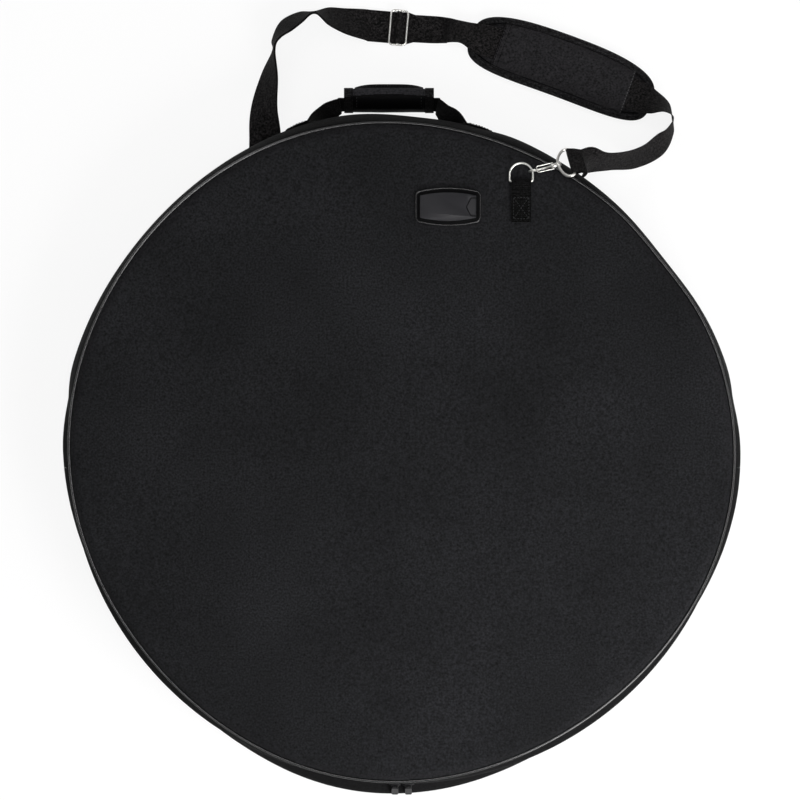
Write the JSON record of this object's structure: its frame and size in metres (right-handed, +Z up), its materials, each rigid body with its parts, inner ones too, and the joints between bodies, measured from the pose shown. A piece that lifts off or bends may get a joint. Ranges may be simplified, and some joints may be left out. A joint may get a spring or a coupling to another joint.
{
  "type": "bike wheel bag",
  "caption": "Round padded bag for one bicycle wheel, with a zip-open flap, wrapped carry handle, padded shoulder strap on snap hooks, and a clear card holder",
  "frame": {"origin": "on the floor under the middle of the bag, on the back panel's flat outer face", "axes": "+Z up through the bag's depth, from the back panel to the front panel; +Y towards the carry handle; +X to the right when the front is seen with the handle at the top"},
  "size_m": [0.8075, 0.9432, 0.1136],
  "materials": {
    "black_cloth": "fine woven nylon",
    "black_lining": "smooth lining cloth",
    "black_piping": "smooth piping cord",
    "black_vinyl": "grained soft vinyl",
    "black_webbing": "woven webbing",
    "black_zip": "woven tape and plastic coil",
    "bright_nickel": "nickel-plated wire and castings",
    "clear_window": "soft clear vinyl over the card",
    "dark_card": "stiff card",
    "grey_foam": "closed-cell foam padding",
    "pad_cloth": "ribbed pad cloth"
  },
  "bodies": {
    "bag": {"back_hook_loop": "bright_nickel", "back_panel": "black_cloth", "back_panel_foam": "grey_foam", "back_panel_lining": "black_lining", "back_ring_tab": "black_webbing", "card_holder_base": "black_vinyl", "card_holder_frame": "black_vinyl", "card_holder_window": "clear_window", "front_hook_loop": "bright_nickel", "front_panel": "black_cloth", "front_panel_foam": "grey_foam", "front_panel_lining": "black_lining", "front_ring_tab": "black_webbing", "handle_anchor_left": "black_webbing", "handle_anchor_right": "black_webbing", "piping_back": "black_piping", "piping_front": "black_piping", "side_band_lower": "black_cloth", "side_band_upper": "black_cloth", "side_foam_lower": "grey_foam", "side_foam_upper": "grey_foam", "strap_return_webbing": "black_webbing", "strap_webbing": "black_webbing", "zip_coil_bag": "black_zip", "zip_end_patch_left": "black_cloth", "zip_end_patch_right": "black_cloth", "zip_tape_bag": "black_zip"},
    "flap": {"flap_panel": "black_cloth", "flap_panel_foam": "grey_foam", "flap_panel_lining": "black_lining", "side_band_flap": "black_cloth", "piping_flap": "black_piping", "zip_tape_flap": "black_zip", "zip_coil_flap": "black_zip"},
    "zip_slider_left": {"zip_slider_left": "bright_nickel"},
    "zip_slider_right": {"zip_slider_right": "bright_nickel"},
    "zip_pull_left": {"zip_pull_left": "bright_nickel"},
    "zip_pull_right": {"zip_pull_right": "bright_nickel"},
    "handle": {"handle_webbing": "black_webbing", "handle_wrap": "black_vinyl", "handle_binding_left": "black_webbing", "handle_binding_right": "black_webbing"},
    "handle_wrap_flap": {"handle_wrap_flap": "black_vinyl"},
    "name_card": {"name_card": "dark_card"},
    "front_ring": {"front_ring": "bright_nickel"},
    "back_ring": {"back_ring": "bright_nickel"},
    "front_hook": {"front_hook": "bright_nickel"},
    "front_hook_gate": {"front_hook_gate": "bright_nickel"},
    "back_hook": {"back_hook": "bright_nickel"},
    "back_hook_gate": {"back_hook_gate": "bright_nickel"},
    "strap_slider": {"strap_slider": "bright_nickel", "strap_bar_loop": "black_webbing"},
    "pad": {"pad_lining": "black_lining", "pad_foam": "grey_foam", "pad_cover": "pad_cloth", "pad_binding": "black_webbing", "pad_sleeve": "pad_cloth"}
  },
  "joints": [
    {"name": "flap_fold", "type": "hinge", "parent": "bag", "child": "flap", "pos_m": [0, -0.02053, 0.0883], "axis": [-1, 0, 0], "range_deg": [0, 150]},
    {"name": "zip_slider_left_run", "type": "hinge", "parent": "bag", "child": "zip_slider_left", "pos_m": [0, 0, 0.058], "axis": [0, 0, -1], "range_deg": [0, 84]},
    {"name": "zip_slider_right_run", "type": "hinge", "parent": "bag", "child": "zip_slider_right", "pos_m": [0, 0, 0.058], "axis": [0, 0, 1], "range_deg": [0, 84]},
    {"name": "zip_pull_left_swing", "type": "hinge", "parent": "zip_slider_left", "child": "zip_pull_left", "pos_m": [-0.00787, -0.39807, 0.058], "axis": [-0.9998, 0.0198, 0], "range_deg": [0, 145]},
    {"name": "zip_pull_right_swing", "type": "hinge", "parent": "zip_slider_right", "child": "zip_pull_right", "pos_m": [0.00787, -0.39807, 0.058], "axis": [-0.9998, -0.0198, 0], "range_deg": [0, 145]},
    {"name": "handle_lift", "type": "hinge", "parent": "bag", "child": "handle", "pos_m": [-0.01388, 0.39295, 0.045], "axis": [1, 0, 0], "range_deg": [0, 80], "deforming": ["handle_webbing"]},
    {"name": "handle_wrap_open", "type": "hinge", "parent": "handle", "child": "handle_wrap_flap", "pos_m": [-0.01388, 0.40928, 0.02212], "axis": [1, 0, 0], "range_deg": [0, 45]},
    {"name": "name_card_slide", "type": "slide", "parent": "bag", "child": "name_card", "axis": [1, 0, 0], "range_m": [0, 0.038]},
    {"name": "front_ring_tilt", "type": "hinge", "parent": "bag", "child": "front_ring", "pos_m": [0.13901, 0.3145, 0.0912], "axis": [1, 0, 0], "range_deg": [0, 14]},
    {"name": "back_ring_tilt", "type": "hinge", "parent": "bag", "child": "back_ring", "pos_m": [-0.16504, 0.23711, 0.0108], "axis": [1, 0, 0], "range_deg": [0, 9]},
    {"name": "front_hook_swivel", "type": "hinge", "parent": "bag", "child": "front_hook", "pos_m": [0.18122, 0.33529, 0.09924], "axis": [0.947, 0.2895, 0.1392], "range_deg": [-12, 12]},
    {"name": "front_hook_gate_open", "type": "hinge", "parent": "front_hook", "child": "front_hook_gate", "pos_m": [0.17583, 0.33364, 0.09845], "axis": [0.2924, -0.9563, 0], "range_deg": [0, 14], "stiffness_Nm_per_rad": 0.01, "springref_deg": -11.46},
    {"name": "back_hook_swivel", "type": "hinge", "parent": "bag", "child": "back_hook", "pos_m": [-0.16504, 0.28862, 0.00665], "axis": [0, 1, 0], "range_deg": [-12, 12]},
    {"name": "back_hook_gate_open", "type": "hinge", "parent": "back_hook", "child": "back_hook_gate", "pos_m": [-0.16504, 0.28292, 0.00665], "axis": [1, 0, 0], "range_deg": [0, 14], "stiffness_Nm_per_rad": 0.01, "springref_deg": -11.46},
    {"name": "strap_slider_slide", "type": "slide", "parent": "bag", "child": "strap_slider", "axis": [0.9962, -0.0872, 0], "range_m": [-0.015, 0.035], "deforming": ["strap_return_webbing"]},
    {"name": "pad_slide", "type": "slide", "parent": "bag", "child": "pad", "axis": [0.9397, -0.342, 0], "range_m": [-0.018, 0]}
  ]
}
